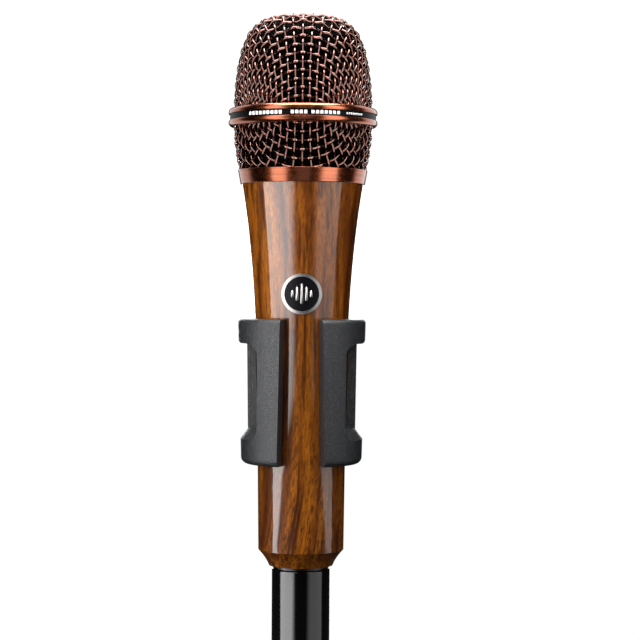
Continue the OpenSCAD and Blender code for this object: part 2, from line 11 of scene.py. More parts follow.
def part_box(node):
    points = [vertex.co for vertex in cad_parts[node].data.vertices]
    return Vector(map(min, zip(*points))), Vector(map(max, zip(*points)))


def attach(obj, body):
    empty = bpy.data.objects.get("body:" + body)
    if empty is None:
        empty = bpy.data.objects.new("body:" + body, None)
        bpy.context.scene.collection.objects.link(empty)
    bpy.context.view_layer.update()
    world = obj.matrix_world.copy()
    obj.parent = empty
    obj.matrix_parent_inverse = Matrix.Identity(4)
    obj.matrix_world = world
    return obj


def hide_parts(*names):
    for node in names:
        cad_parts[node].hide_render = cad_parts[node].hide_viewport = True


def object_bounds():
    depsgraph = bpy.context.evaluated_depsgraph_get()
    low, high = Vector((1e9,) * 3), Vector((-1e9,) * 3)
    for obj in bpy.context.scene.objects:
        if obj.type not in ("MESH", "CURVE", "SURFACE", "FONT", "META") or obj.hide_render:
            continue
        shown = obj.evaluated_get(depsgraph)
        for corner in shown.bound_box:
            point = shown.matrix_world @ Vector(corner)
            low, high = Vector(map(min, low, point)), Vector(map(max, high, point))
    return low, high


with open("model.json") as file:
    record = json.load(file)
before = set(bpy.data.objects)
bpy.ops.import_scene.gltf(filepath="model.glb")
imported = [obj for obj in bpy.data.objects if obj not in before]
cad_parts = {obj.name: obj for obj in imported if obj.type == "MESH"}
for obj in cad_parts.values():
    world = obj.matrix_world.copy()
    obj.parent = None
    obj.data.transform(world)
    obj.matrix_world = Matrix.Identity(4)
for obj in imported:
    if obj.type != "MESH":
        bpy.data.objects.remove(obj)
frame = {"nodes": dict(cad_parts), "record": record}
cad_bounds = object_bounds()
nodes = frame["nodes"]
slot_of = {s["node"]: s["material_slot"] for s in frame["record"]["subparts"]}

MM = 0.001
scene = bpy.context.scene

# Places that everything else is worked out from, all read from the frame
handle_low, handle_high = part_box("handle_shell")
dome_low, dome_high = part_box("upper_mesh")
cup_low, cup_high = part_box("lower_mesh")
band_low, band_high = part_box("belt_band")
badge_low, badge_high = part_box("badge_plate")
axis_x = (handle_low.x + handle_high.x) / 2
axis_y = (handle_low.y + handle_high.y) / 2
tail_z = handle_low.z
axis_at_tail = Vector((axis_x, axis_y, tail_z))


# ---------------------------------------------------------------- node materials

class Shader:
    """One node-based material, with short calls for the nodes that the looks use."""

    def __init__(self, name):
        self.material = bpy.data.materials.new(name)
        self.material.use_nodes = True
        self.tree = self.material.node_tree
        self.bsdf = self.tree.nodes["Principled BSDF"]
        coords = self.tree.nodes.new("ShaderNodeTexCoord")
        self.position = self.mapped(coords.outputs["Object"], (1000, 1000, 1000), -1000 * axis_at_tail)

    def node(self, kind, **settings):
        made = self.tree.nodes.new(kind)
        for key, value in settings.items():
            setattr(made, key, value)
        return made

    def put(self, socket, value):
        """Links value to socket if it's an output, or else stores it there."""
        if isinstance(value, bpy.types.NodeSocket):
            self.tree.links.new(value, socket)
        else:
            socket.default_value = value

    def set(self, **values):
        """Sets the shader's inputs by name, with underscores for spaces."""
        for key, value in values.items():
            self.put(self.bsdf.inputs[key.replace("_", " ")], value)

    def mapped(self, vector, scale=(1, 1, 1), shift=(0, 0, 0), turn=(0, 0, 0)):
        """The vector scaled, then turned, then shifted."""
        made = self.node("ShaderNodeMapping")
        self.put(made.inputs["Vector"], vector)
        made.inputs["Scale"].default_value = scale
        made.inputs["Location"].default_value = shift
        made.inputs["Rotation"].default_value = turn
        return made.outputs["Vector"]

    def noise(self, scale=1.0, stretch=(1, 1, 1), detail=3.0, roughness=0.5, vector=None, shift=(0, 0, 0)):
        """Noise from 0 to 1 whose features are about 1 / scale millimetres across."""
        made = self.node("ShaderNodeTexNoise")
        source = self.position if vector is None else vector
        self.put(made.inputs["Vector"], self.mapped(source, stretch, shift))
        made.inputs["Scale"].default_value = scale
        made.inputs["Detail"].default_value = detail
        made.inputs["Roughness"].default_value = roughness
        return made.outputs["Fac"]

    def math(self, operation, a, b=0.0, c=0.0):
        made = self.node("ShaderNodeMath", operation=operation)
        for socket, value in zip(made.inputs, (a, b, c)):
            self.put(socket, value)
        return made.outputs["Value"]

    def span(self, value, low, high, to_low=0.0, to_high=1.0):
        """The value moved from the range low to high onto the range to_low to to_high, and held inside it."""
        made = self.node("ShaderNodeMapRange")
        self.put(made.inputs["Value"], value)
        for key, number in (("From Min", low), ("From Max", high), ("To Min", to_low), ("To Max", to_high)):
            self.put(made.inputs[key], number)
        return made.outputs["Result"]

    def ramp(self, value, *stops):
        """A colour that changes with the value; each stop is (place, colour)."""
        made = self.node("ShaderNodeValToRGB")
        self.put(made.inputs["Fac"], value)
        elements = made.color_ramp.elements
        while len(elements) < len(stops):
            elements.new(0.5)
        for element, (place, colour) in zip(elements, stops):
            element.position = place
            element.color = (*colour, 1)
        return made.outputs["Color"]

    def mix(self, share, a, b, blend="MIX"):
        made = self.node("ShaderNodeMix", data_type="RGBA", blend_type=blend)
        self.put(made.inputs[0], share)
        for socket, value in ((made.inputs[6], a), (made.inputs[7], b)):
            self.put(socket, (*value, 1) if isinstance(value, tuple) else value)
        return made.outputs[2]

    def split(self, vector):
        made = self.node("ShaderNodeSeparateXYZ")
        self.put(made.inputs[0], vector)
        return made.outputs

    def join(self, x, y, z):
        made = self.node("ShaderNodeCombineXYZ")
        for socket, value in zip(made.inputs, (x, y, z)):
            self.put(socket, value)
        return made.outputs[0]

    def bump(self, height, depth_mm):
        """Raises the surface by height, from 0 to 1, times depth_mm."""
        made = self.node("ShaderNodeBump")
        made.inputs["Strength"].default_value = 1.0
        made.inputs["Distance"].default_value = depth_mm * MM
        self.put(made.inputs["Height"], height)
        if self.bsdf.inputs["Normal"].links:
            self.put(made.inputs["Normal"], self.bsdf.inputs["Normal"].links[0].from_socket)
        self.put(self.bsdf.inputs["Normal"], made.outputs["Normal"])


def shade(colour, factor):
    """The colour made lighter or darker by the factor."""
    return tuple(min(1.0, c * factor) for c in colour)


def wood():
    """Figured hardwood under a clear gloss lacquer, with its grain along the handle."""
    m = Shader("wood")
    x, y, z = m.split(m.position)
    low = m.span(z, 38, 0, 0, 1)
    lean = m.math("MULTIPLY", m.math("MULTIPLY", low, low), 4.5)
    leaning = m.join(m.math("ADD", x, lean), y, z)
    drift = m.math("SUBTRACT", m.noise(0.06, (1, 1, 0.25), 2, vector=leaning), 0.5)
    grown = m.join(m.math("ADD", m.split(leaning)[0], m.math("MULTIPLY", drift, 5.0)), y, z)
    broad = m.noise(0.2, (1, 0.6, 0.045), 2, 0.5, vector=grown, shift=(3.7, 1.2, 0.4))
    colour = m.ramp(broad, (0.3, (0.04, 0.0085, 0.0008)), (0.44, (0.095, 0.025, 0.0018)),
                    (0.56, (0.15, 0.044, 0.0028)), (0.72, (0.2, 0.066, 0.0045)))
    streaks = m.noise(0.62, (1, 0.6, 0.035), 3, 0.55, vector=grown, shift=(11.3, 4.1, 2.2))
    colour = m.mix(m.span(streaks, 0.5, 0.64, 0, 0.85), colour, (0.022, 0.005, 0.0008))
    fibre = m.noise(1.9, (1, 1, 0.13), 4, 0.7, vector=leaning)
    contrast = m.ramp(fibre, (0.32, (0.5, 0.44, 0.4)), (0.68, (1.4, 1.4, 1.35)))
    colour = m.mix(1.0, colour, contrast, "MULTIPLY")
    slanted = m.mapped(m.position, turn=(0, math.radians(-14), 0))
    flecks = m.noise(1.5, (1, 1, 0.24), 2, 0.5, vector=slanted)
    flecked = m.math("MULTIPLY", m.span(flecks, 0.54, 0.64, 0, 0.75), m.span(z, 70, 20, 0.35, 1))
    colour = m.mix(flecked, colour, (0.028, 0.0075, 0.0014))
    m.set(Base_Color=colour, Roughness=0.42, Coat_Weight=1.0, Coat_Roughness=0.045, Coat_IOR=1.5,
          Specular_IOR_Level=0.1)
    m.bump(m.noise(0.1, (1, 1, 0.2), 1), 0.03)
    return m.material


def copper(name, colour, roughness, brushed, coat):
    """Antique copper plate under a lacquer, whose weight and roughness are the pair coat.

    brushed adds the fine rings that a lathe's polish leaves."""
    m = Shader(name)
    patina = m.noise(0.5, (1, 1, 1), 4, 0.6)
    base = m.ramp(patina, (0.3, shade(colour, 0.88)), (0.55, colour), (0.8, shade(colour, 1.1)))
    if brushed:
        rings = m.noise(1.0, (0.05, 0.05, 2.6), 4, 0.7)
        contrast = m.ramp(rings, (0.3, (0.6, 0.55, 0.5)), (0.7, (1.35, 1.3, 1.3)))
        base = m.mix(1.0, base, contrast, "MULTIPLY")
        m.bump(rings, 0.012)
        m.set(Anisotropic=0.4, Anisotropic_Rotation=0.25)
        tangent = m.node("ShaderNodeTangent", direction_type="RADIAL", axis="Z")
        m.put(m.bsdf.inputs["Tangent"], tangent.outputs[0])
    varied = m.span(patina, 0.3, 0.7, roughness * 0.85, roughness * 1.2)
    m.set(Base_Color=base, Metallic=1.0, Roughness=varied, Coat_Weight=coat[0], Coat_Roughness=coat[1])
    return m.material


def moulded(name, colour, roughness, grain, depth, speckle=0.0, coat=0.0, shine=0.5):
    """Moulded plastic or rubber: a fine grain in the surface, with faint light specks.

    grain is the fineness per millimetre, depth the height in millimetres, and shine the specular level."""
    m = Shader(name)
    fine = m.noise(grain, (1, 1, 1), 3, 0.6)
    broad = m.noise(0.12, (1, 1, 1), 2)
    base = m.ramp(broad, (0.3, shade(colour, 0.85)), (0.7, shade(colour, 1.15)))
    specks = m.noise(grain, (1, 1, 1), 1, 0.5, shift=(5, 9, 2))
    base = m.mix(m.span(specks, 0.56, 0.66, 0, speckle), base, shade(colour, 6))
    m.set(Base_Color=base, Roughness=m.span(fine, 0.3, 0.7, roughness * 0.85, roughness * 1.15),
          Specular_IOR_Level=shine)
    if coat:
        m.set(Coat_Weight=coat, Coat_Roughness=0.03)
    m.bump(fine, depth)
    return m.material


def metal(name, colour, roughness, stretch=(1, 1, 1), scale=1.5, depth=0.01):
    """Plated or turned metal with faint machining lines along the stretched direction."""
    m = Shader(name)
    lines = m.noise(scale, stretch, 4, 0.65)
    wear = m.noise(0.25, (1, 1, 1), 3)
    base = m.ramp(wear, (0.3, shade(colour, 0.8)), (0.7, shade(colour, 1.1)))
    varied = m.span(lines, 0.3, 0.7, roughness * 0.7, roughness * 1.4)
    m.set(Base_Color=base, Metallic=1.0, Roughness=varied)
    m.bump(lines, depth)
    return m.material


def cloth(name, colour, grain):
    """Foam or felt: matt, with open cells or fibres that catch a little light."""
    m = Shader(name)
    cells = m.node("ShaderNodeTexVoronoi", feature="F1")
    m.put(cells.inputs["Vector"], m.position)
    cells.inputs["Scale"].default_value = grain
    # The colour is darker in the middle of each cell and lighter at its rim: painted shade in the cell's
    # hollow and a painted highlight on its rim.
    base = m.ramp(cells.outputs["Distance"], (0.0, shade(colour, 0.3)), (0.8, shade(colour, 1.4)))
    m.set(Base_Color=base, Roughness=0.95, Specular_IOR_Level=0.02)
    m.bump(cells.outputs["Distance"], 0.25)
    return m.material


def wound(name, colour):
    """Fine enamelled wire, wound in turns that stack along Z."""
    m = Shader(name)
    turns = m.node("ShaderNodeTexWave", bands_direction="Z")
    m.put(turns.inputs["Vector"], m.position)
    turns.inputs["Scale"].default_value = 1.2
    turns.inputs["Distortion"].default_value = 0.4
    # The colour is darker between the turns: painted shade in the grooves between them.
    base = m.ramp(turns.outputs["Fac"], (0.0, shade(colour, 0.3)), (0.6, colour))
    m.set(Base_Color=base, Metallic=0.8, Roughness=0.3, Coat_Weight=0.6)
    m.bump(turns.outputs["Fac"], 0.08)
    return m.material


def circuit_board(name, colour):
    """Green solder mask with slightly raised tracks under it."""
    m = Shader(name)
    tracks = m.node("ShaderNodeTexBrick", offset=0.5)
    m.put(tracks.inputs["Vector"], m.mapped(m.position, (1, 1, 1), turn=(math.pi / 2, 0, 0)))
    tracks.inputs["Scale"].default_value = 0.35
    tracks.inputs["Mortar Size"].default_value = 0.06
    base = m.mix(tracks.outputs["Fac"], colour, shade(colour, 2.2))
    m.set(Base_Color=base, Roughness=0.3, Coat_Weight=0.5, Coat_Roughness=0.1)
    m.bump(tracks.outputs["Fac"], 0.04)
    return m.material


def film(name, colour):
    """Clear plastic film, stiff enough to show faint ripples."""
    m = Shader(name)
    ripples = m.noise(0.8, (1, 1, 1), 2)
    varied = m.span(ripples, 0.3, 0.7, 0.1, 0.25)
    m.set(Base_Color=(*colour, 1), Roughness=varied, Alpha=0.6, IOR=1.6)
    m.bump(ripples, 0.02)
    return m.material


def build_materials():
    """Every material, under the name of its slot in the frame."""
    return {
        "wood": wood(),
        "copper": copper("copper", (0.33, 0.087, 0.034), 0.25, True, coat=(0.65, 0.1)),
        "woven_wire": copper("woven_wire", (0.092, 0.026, 0.014), 0.13, False, coat=(1.0, 0.035)),
        "band_enamel": moulded("band_enamel", (0.002, 0.002, 0.003), 0.4, 3.0, 0.002, shine=0.08),
        "badge_metal": metal("badge_metal", (0.3, 0.29, 0.28), 0.34, (1, 1, 1), 3.0, 0.004),
        "foam": cloth("foam", (0.0014, 0.0014, 0.0014), 1.6),
        "clip_plastic": moulded("clip_plastic", (0.006, 0.0064, 0.0072), 0.36, 2.6, 0.24,
                                speckle=1.0, shine=0.42),
        "plug_plastic": moulded("plug_plastic", (0.001, 0.001, 0.0013), 0.14, 1.2, 0.004, coat=0.7),
        "black_plastic": moulded("black_plastic", (0.012, 0.012, 0.013), 0.4, 3.0, 0.01),
        "rubber": moulded("rubber", (0.011, 0.011, 0.012), 0.62, 2.4, 0.03, speckle=0.05),
        "jacket": moulded("jacket", (0.009, 0.009, 0.01), 0.42, 1.8, 0.03),
        "steel": metal("steel", (0.6, 0.6, 0.61), 0.3, (0.2, 6, 6), 1.0),
        "black_steel": metal("black_steel", (0.05, 0.05, 0.055), 0.3, (1, 1, 8), 0.8),
        "aluminium": metal("aluminium", (0.75, 0.75, 0.77), 0.32, (0.2, 0.2, 8), 1.0),
        "brass": metal("brass", (0.72, 0.5, 0.2), 0.28, (0.3, 0.3, 7), 1.0),
        "magnet_steel": metal("magnet_steel", (0.42, 0.42, 0.44), 0.25, (0.4, 0.4, 5), 1.0),
        "coil_wire": wound("coil_wire", (0.55, 0.2, 0.08)),
        "film": film("film", (0.75, 0.74, 0.7)),
        "felt": cloth("felt", (0.04, 0.04, 0.045), 3.0),
        "nylon": moulded("nylon", (0.7, 0.68, 0.6), 0.45, 1.5, 0.01),
        "board": circuit_board("board", (0.012, 0.09, 0.035)),
        "cap_sleeve": moulded("cap_sleeve", (0.02, 0.05, 0.25), 0.3, 2.0, 0.005, coat=0.4),
        "lead_red": moulded("lead_red", (0.4, 0.02, 0.015), 0.4, 3.0, 0.005),
        "lead_yellow": moulded("lead_yellow", (0.6, 0.42, 0.03), 0.4, 3.0, 0.005),
        "gold_contact": metal("gold_contact", (0.85, 0.62, 0.25), 0.18, (0.3, 0.3, 6), 1.0),
        "print_white": moulded("print_white", (0.8, 0.8, 0.79), 0.45, 6.0, 0.003),
    }


# ---------------------------------------------------------------- mesh helpers

def make_piece(name, vertices, faces, slot, body, stands_for=()):
    """A shown piece: a mesh with its material, riding on a body and standing for CAD nodes."""
    mesh = bpy.data.meshes.new(name)
    mesh.from_pydata([tuple(v) for v in vertices], [], faces)
    mesh.validate()
    mesh.update()
    piece = bpy.data.objects.new(name, mesh)
    scene.collection.objects.link(piece)
    mesh.materials.append(materials[slot])
    mesh.shade_smooth()
    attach(piece, body)
    if stands_for:
        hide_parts(*stands_for)
    return piece


def lathe(profile, steps):
    """Vertices and faces of a closed ring of revolution round the microphone's axis.

    profile is a closed loop of (radius, z) points. A point at radius 0 stays one point."""
    vertices, rows = [], []
    for radius, z in profile:
        if radius < 1e-9:
            rows.append([len(vertices)] * steps)
            vertices.append((axis_x, axis_y, z))
            continue
        rows.append(list(range(len(vertices), len(vertices) + steps)))
        for k in range(steps):
            angle = 2 * math.pi * k / steps
            vertices.append((axis_x + radius * math.cos(angle), axis_y + radius * math.sin(angle), z))
    faces = []
    for a, b in zip(rows, rows[1:] + rows[:1]):
        for k in range(steps):
            corners = [a[k], a[(k + 1) % steps], b[(k + 1) % steps], b[k]]
            kept = [c for n, c in enumerate(corners) if c != corners[n - 1]]
            if len(set(kept)) >= 3:
                faces.append(tuple(kept))
    return vertices, faces


class Solid:
    """Vertices and faces gathered from many small closed shapes."""

    def __init__(self):
        self.vertices, self.faces = [], []

    def prism(self, outline, place, low, high):
        """A plate whose outline is a loop of (u, v) points; place(u, v, depth) puts each one in space."""
        first, count = len(self.vertices), len(outline)
        for depth in (low, high):
            self.vertices.extend(place(u, v, depth) for u, v in outline)
        self.faces.append(tuple(reversed(range(first, first + count))))
        self.faces.append(tuple(range(first + count, first + 2 * count)))
        for k in range(count):
            after = (k + 1) % count
            self.faces.append((first + k, first + after, first + count + after, first + count + k))

    def tube(self, points, normals, radius, sides):
        """A round closed rod along points; normals fix how its sides are turned."""
        tangents = np.gradient(points, axis=0)
        tangents /= np.linalg.norm(tangents, axis=1)[:, None]
        binormals = np.cross(tangents, normals)
        binormals /= np.linalg.norm(binormals, axis=1)[:, None]
        fronts = np.cross(binormals, tangents)
        angles = 2 * np.pi * np.arange(sides) / sides
        across = (np.cos(angles)[None, :, None] * fronts[:, None]
                  + np.sin(angles)[None, :, None] * binormals[:, None])
        rings = points[:, None] + radius * across
        first, count = len(self.vertices), len(points)
        self.vertices.extend(rings.reshape(-1, 3))
        for i in range(count - 1):
            for k in range(sides):
                a, b = first + i * sides + k, first + i * sides + (k + 1) % sides
                self.faces.append((a, b, b + sides, a + sides))
        self.faces.append(tuple(first + k for k in reversed(range(sides))))
        self.faces.append(tuple(first + (count - 1) * sides + k for k in range(sides)))


# ---------------------------------------------------------------- woven wire head

WIRE_R = 0.46 * MM          # radius of the wire
PITCH = 2.5 * MM            # spacing of the wires before the sheet is drawn to shape
MIN_DIAGONAL = 1.9 * MM     # where neighbouring wires lock against each other
STRAIGHTEN = 0.25           # how strongly each wire resists bending sideways
TUCK = 1.3 * MM             # length of each wire hidden inside the belt or the collar
WALL_EXTENSION = 25 * MM    # wall past the belt that holds the sheet's edge while it settles
SWEEPS = 400                # passes that settle the sheet
WEAVE_STEPS = 6             # samples along each wire from one crossing to the next
WIRE_SIDES = 8              # flat sides round each wire
UPPER_REACH = 56 * MM       # half width of the blank that makes the upper basket
LOWER_REACH = 47 * MM       # half width of the blank that makes the lower basket
CROWN_POWERS = (5.2, 1.9)   # the upper basket's superellipse, as in the CAD source
WALL_POWER = 2.0            # the lower basket's wall, as in the CAD source


def spread_evenly(points, count):
    """The same curve, as count points spaced evenly along it."""
    steps = np.linalg.norm(np.diff(points, axis=0), axis=1)
    s = np.concatenate([[0], np.cumsum(steps)])
    even = np.linspace(0, s[-1], count)
    return np.stack([np.interp(even, s, points[:, 0]), np.interp(even, s, points[:, 1])], 1), s[-1]


def crown_curve():
    """(radius, height) along the upper basket's wire, from its crown down past the belt's upper edge."""
    inset = 2 * WIRE_R
    radius, height = (dome_high.x - dome_low.x) / 2 - inset, dome_high.z - dome_low.z - inset
    t = np.linspace(math.pi / 2, 0, 900)
    r = radius * np.abs(np.cos(t)) ** (2 / CROWN_POWERS[0])
    z = dome_low.z + height * np.abs(np.sin(t)) ** (2 / CROWN_POWERS[1])
    r[0] = 0
    return np.concatenate([np.stack([r, z], 1), [[radius, dome_low.z - WALL_EXTENSION]]])


def cup_curve():
    """(radius, height) along the lower basket's wire, from its hidden floor up past the belt's lower edge."""
    inset = 2 * WIRE_R
    top_r, height = (cup_high.x - cup_low.x) / 2 - inset, cup_high.z - cup_low.z
    foot_drop = 1.85 * MM
    foot_r = top_r - foot_drop
    floor_depth = 6 * MM
    t = np.linspace(0, math.pi / 2, 300)
    floor = np.stack([foot_r * np.sin(t) ** 0.7, cup_low.z - floor_depth * np.cos(t) ** 0.9], 1)
    h = np.linspace(0, 1, 200)[1:]
    wall = np.stack([top_r - foot_drop * (1 - h) ** WALL_POWER, cup_low.z + height * h], 1)
    return np.concatenate([floor, wall, [[top_r, cup_high.z + WALL_EXTENSION]]])


class RevolvedSheet:
    """A surface of revolution that points can be pulled onto."""

    def __init__(self, curve):
        self.curve, self.length = spread_evenly(curve, 500)
        slope = np.gradient(self.curve, axis=0)
        slope /= np.linalg.norm(slope, axis=1)[:, None]
        self.slope = slope

    def at(self, s, angle):
        """Points at distance s from the pole along the curve, at angle round the axis."""
        place = np.clip(s / self.length, 0, 1) * (len(self.curve) - 1)
        r = np.interp(place, np.arange(len(self.curve)), self.curve[:, 0])
        z = np.interp(place, np.arange(len(self.curve)), self.curve[:, 1])
        return np.stack([axis_x + r * np.cos(angle), axis_y + r * np.sin(angle), z], -1)

    def pull(self, points):
        """The nearest points on the surface, and its outward normals there."""
        dx, dy = points[..., 0] - axis_x, points[..., 1] - axis_y
        r, angle = np.hypot(dx, dy), np.arctan2(dy, dx)
        flat = np.stack([r, points[..., 2]], -1).reshape(-1, 2)
        out = flat[:, None, 0] - self.curve[None, :, 0]
        up = flat[:, None, 1] - self.curve[None, :, 1]
        nearest = (out ** 2 + up ** 2).argmin(1)
        slope = self.slope[nearest]
        shift = ((flat - self.curve[nearest]) * slope).sum(1)
        shift = np.clip(shift, -self.length / 400, self.length / 400)
        on = self.curve[nearest] + shift[:, None] * slope
        on[:, 0] = np.maximum(on[:, 0], 0)
        on = on.reshape(*r.shape, 2)
        slope = slope.reshape(*r.shape, 2)
        away = 1.0 if self.curve[0, 1] > self.curve[-1, 1] else -1.0
        normal = np.stack([-slope[..., 1] * away * np.cos(angle), -slope[..., 1] * away * np.sin(angle),
                           slope[..., 0] * away], -1)
        place = np.stack([axis_x + on[..., 0] * np.cos(angle), axis_y + on[..., 0] * np.sin(angle),
                          on[..., 1]], -1)
        return place, normal


def pull_pairs(a, b, live, low, high, share):
    """Moves two sets of points along the lines that join them, towards distances from low to high."""
    gap = b - a
    length = np.linalg.norm(gap, axis=-1) + 1e-12
    wanted = np.clip(length, low, high)
    move = np.where(live, 0.5 * share * (length - wanted) / length, 0)[..., None] * gap
    a += move
    b -= move


def mirrored(points):
    """The mean of the sheet's eight mirror images, so that all four sides hang alike."""
    x, y, z = points[..., 0] - axis_x, points[..., 1] - axis_y, points[..., 2]
    x = (x - x[::-1] + x[:, ::-1] - x[::-1, ::-1]) / 4
    y = (y + y[::-1] - y[:, ::-1] - y[::-1, ::-1]) / 4
    z = (z + z[::-1] + z[:, ::-1] + z[::-1, ::-1]) / 4
    x = (x + y.T) / 2
    return np.stack([x + axis_x, x.T + axis_y, (z + z.T) / 2], -1)


def drape(sheet, reach):
    """A square wire net drawn over the sheet: (points, normals, live), with live marking the points in use.

    reach is the blank's half width. Its corners start cut short and swung towards the middle of each side."""
    corner_cut, corner_bulge, corner_swing = 0.2, 0.25, 0.15
    half = int(reach / PITCH) + 1
    u, v = np.meshgrid(np.arange(-half, half + 1), np.arange(-half, half + 1), indexing="ij")
    far, angle = np.hypot(u, v) * PITCH, np.arctan2(v, u)
    cornered = (1 - np.cos(4 * angle)) / 2
    live = far < reach * (1 - corner_cut * cornered)
    share = np.clip(far / reach, 0, 1)
    points = sheet.at(np.minimum(far * (1 + corner_bulge * cornered * share), sheet.length),
                      angle + corner_swing * share * np.sin(4 * angle))
    for _ in range(SWEEPS):
        for start in (0, 1):
            for grid, mask in ((points, live), (points.swapaxes(0, 1), live.T)):
                a, b = grid[start:-1:2], grid[start + 1::2]
                n = min(len(a), len(b))
                used = mask[start:-1:2][:n] & mask[start + 1::2][:n]
                pull_pairs(a[:n], b[:n], used, PITCH, PITCH, 0.8)
        for i, j in ((0, 0), (0, 1), (1, 0), (1, 1)):
            grid, mask = points[i:, j:], live[i:, j:]
            rows, columns = grid.shape[0] // 2, grid.shape[1] // 2
            for ends in (((0, 0), (1, 1)), ((1, 0), (0, 1))):
                (a, used_a), (b, used_b) = (
                    (grid[p::2, q::2][:rows, :columns], mask[p::2, q::2][:rows, :columns]) for p, q in ends)
                pull_pairs(a, b, used_a & used_b, MIN_DIAGONAL, 1.0, 1.0)
        for grid, mask in ((points, live), (points.swapaxes(0, 1), live.T)):
            inner = mask[:-2] & mask[1:-1] & mask[2:]
            bend = 0.5 * (grid[:-2] + grid[2:]) - grid[1:-1]
            grid[1:-1] += np.where(inner[..., None], STRAIGHTEN * bend, 0)
        points, normals = sheet.pull(mirrored(points))
    return points, normals, live


def smooth_path(points, steps):
    """A Catmull-Rom curve through points, with steps samples for each stretch."""
    padded = np.concatenate([[2 * points[0] - points[1]], points, [2 * points[-1] - points[-2]]])
    t = (np.arange(steps) / steps)[None, :, None]
    p0, p1, p2, p3 = (padded[k:len(padded) - 3 + k][:, None] for k in range(4))
    curve = 0.5 * (2 * p1 + (p2 - p0) * t + (2 * p0 - 5 * p1 + 4 * p2 - p3) * t ** 2
                   + (3 * p1 - p0 - 3 * p2 + p3) * t ** 3)
    return np.concatenate([curve.reshape(-1, 3), points[-1:]])


def weave(name, curve, reach, keep, stands_for):
    """A basket of woven wire, riding on the head: keep(z) says which heights of wire are kept."""
    sheet = RevolvedSheet(curve)
    points, normals, live = drape(sheet, reach)
    over = np.where(np.add.outer(np.arange(len(points)), np.arange(len(points))) % 2 == 0, 1.0, -1.0)
    lift = 1.02 * WIRE_R
    rods = Solid()
    layers = ((points, normals, live, over),
              (points.swapaxes(0, 1), normals.swapaxes(0, 1), live.T, -over.T))
    for grid, outward, used, side in layers:
        for row in range(len(grid)):
            index = np.flatnonzero(used[row])
            if len(index) < 3:
                continue
            span = slice(index[0], index[-1] + 1)
            crimped = grid[row, span] + lift * side[row, span, None] * outward[row, span]
            middle = smooth_path(crimped, WEAVE_STEPS)
            facing = smooth_path(outward[row, span], WEAVE_STEPS)
            inside = keep(middle[:, 2])
            edges = np.flatnonzero(np.diff(np.concatenate([[0], inside.astype(int), [0]])))
            for first, last in zip(edges[::2], edges[1::2]):
                if last - first >= 4:
                    rods.tube(middle[first:last], facing[first:last], WIRE_R, WIRE_SIDES)
    return make_piece(name, rods.vertices, rods.faces, "woven_wire", "head", stands_for)


# ---------------------------------------------------------------- other pieces

def wind_liner():
    """The black foam inside both baskets, tapered at its foot to sit down in the collar."""
    thick, clear = 1.6 * MM, 0.95 * MM
    foot_overhang, foot_taper, foot_depth = 1.2 * MM, 0.6 * MM, 0.7 * MM
    around, crown_stride, wall_start, wall_stride = 160, 30, 300, 20
    low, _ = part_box("wind_liner")
    bottom = low.z - foot_overhang
    outer = [(max(r - clear, 0), z - clear * (z > dome_low.z)) for r, z in crown_curve()[:-1:crown_stride]]
    outer += [(r - clear, z) for r, z in cup_curve()[wall_start:-1:wall_stride][::-1]]
    outer = [(r, z) for r, z in outer if z > bottom]
    outer.append((outer[-1][0] - foot_taper, bottom - foot_depth))
    inner = [(max(r - thick, 0), z - thick * (z > dome_low.z)) for r, z in outer][::-1]
    vertices, faces = lathe(outer + inner, around)
    return make_piece("foam_lining", vertices, faces, "foam", "head_screw", ["wind_liner"])


# Start, number, width, spacing and height of each run of dashes, in millimetres round the belt
BAND_GROUPS = (
    (-18.5, 9, 1.0, 1.42, 1.15),
    (-3.2, 4, 1.0, 1.42, 1.15),
    (3.4, 7, 1.0, 1.42, 1.15),
    (15.2, 8, 0.55, 0.95, 0.7),
)


def band_marks():
    """A generic ring of dashes printed on the belt's band."""
    radius = (band_high.x - band_low.x) / 2
    middle = (band_low.z + band_high.z) / 2
    marks = Solid()

    def place(u, v, depth):
        angle, r = u / radius, radius + depth
        return (axis_x + r * math.sin(angle), axis_y - r * math.cos(angle), middle + v)

    def dash(centre, width, height):
        columns = max(2, int(width / (0.5 * MM)) + 1)
        us = [centre + width * (k / (columns - 1) - 0.5) for k in range(columns)]
        outline = [(u, -height / 2) for u in us] + [(u, height / 2) for u in reversed(us)]
        marks.prism(outline, place, -0.02 * MM, 0.03 * MM)

    for turn in (0, math.pi):
        for start, count, width, step, height in BAND_GROUPS:
            for k in range(count):
                dash((start + k * step) * MM + turn * radius, width * MM, height * MM)
    return make_piece("band_marks", marks.vertices, marks.faces, "print_white", "head")


def badge_motif():
    """Five raised bars of different heights on the enamel, for a generic sound badge."""
    inlay = nodes["badge_inlay"]
    tree = BVHTree.FromPolygons([v.co for v in inlay.data.vertices], [p.vertices for p in inlay.data.polygons])
    centre_x, centre_z = (badge_low.x + badge_high.x) / 2, (badge_low.z + badge_high.z) / 2
    bars = Solid()

    def place(u, v, depth):
        start = Vector((centre_x + u, axis_y - 0.05, centre_z + v))
        hit = tree.ray_cast(start, Vector((0, 1, 0)))[0]
        return (start.x, hit.y - depth, start.z)

    width, step, heights = 0.85 * MM, 1.55 * MM, (2.4, 4.6, 6.6, 4.6, 2.4)
    for k, height in enumerate(heights):
        centre, straight = (k - (len(heights) - 1) / 2) * step, height * MM / 2 - width / 2
        arc = [math.pi * n / 6 for n in range(7)]
        cap = [(centre + width / 2 * math.cos(a), straight + width / 2 * math.sin(a)) for a in arc]
        foot = [(centre - width / 2 * math.cos(a), -straight - width / 2 * math.sin(a)) for a in arc]
        bars.prism(cap + foot, place, -0.05 * MM, 0.16 * MM)
    return make_piece("badge_motif", bars.vertices, bars.faces, "badge_metal", "mic")


